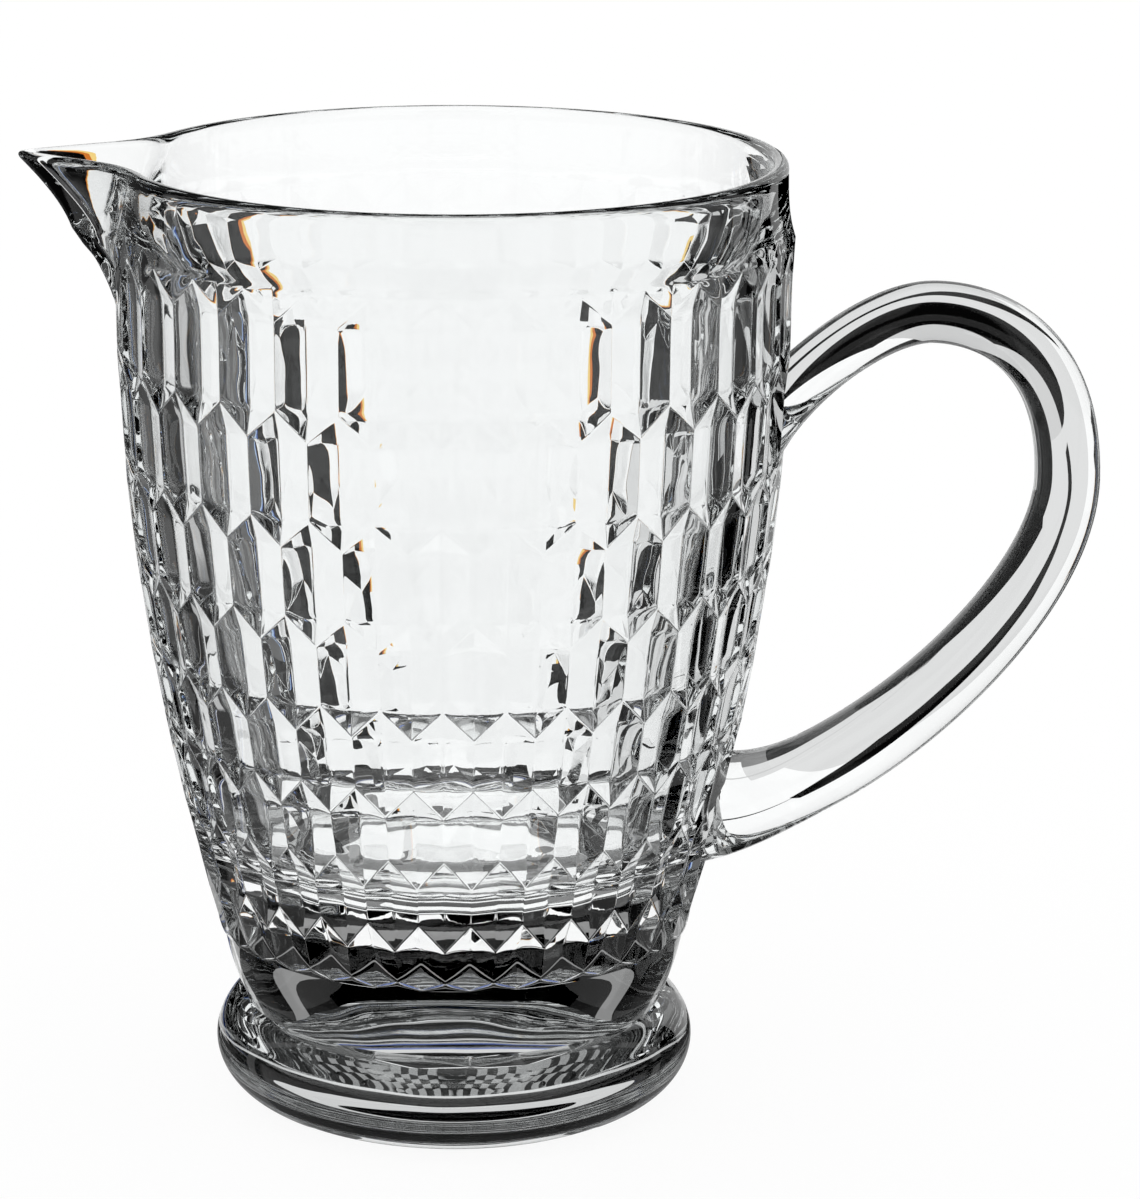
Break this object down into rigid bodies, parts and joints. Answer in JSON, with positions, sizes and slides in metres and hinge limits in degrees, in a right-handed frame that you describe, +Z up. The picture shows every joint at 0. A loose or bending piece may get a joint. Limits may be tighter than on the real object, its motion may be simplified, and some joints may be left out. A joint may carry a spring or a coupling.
{
  "type": "crystal mixing jug",
  "caption": "Footed clear crystal jug with a honeycomb-cut tapering bowl, pulled pouring lip, loop handle, waist and round foot, for mixing and pouring drinks.",
  "frame": {"origin": "centre of the foot's flat underside, on the bowl's axis", "axes": "+Z up along the bowl's axis, +X toward the handle, so that the pouring lip points along -X"},
  "size_m": [0.2066, 0.1292, 0.185],
  "materials": {
    "bowl_crystal": "clear crystal, cut facets outside, fire-polished inside",
    "handle_crystal": "clear crystal, smooth drawn rod",
    "foot_crystal": "clear crystal, thick and fire-polished"
  },
  "bodies": {
    "root": {"bowl": "bowl_crystal", "handle": "handle_crystal", "waist": "foot_crystal", "foot": "foot_crystal"}
  },
  "joints": []
}
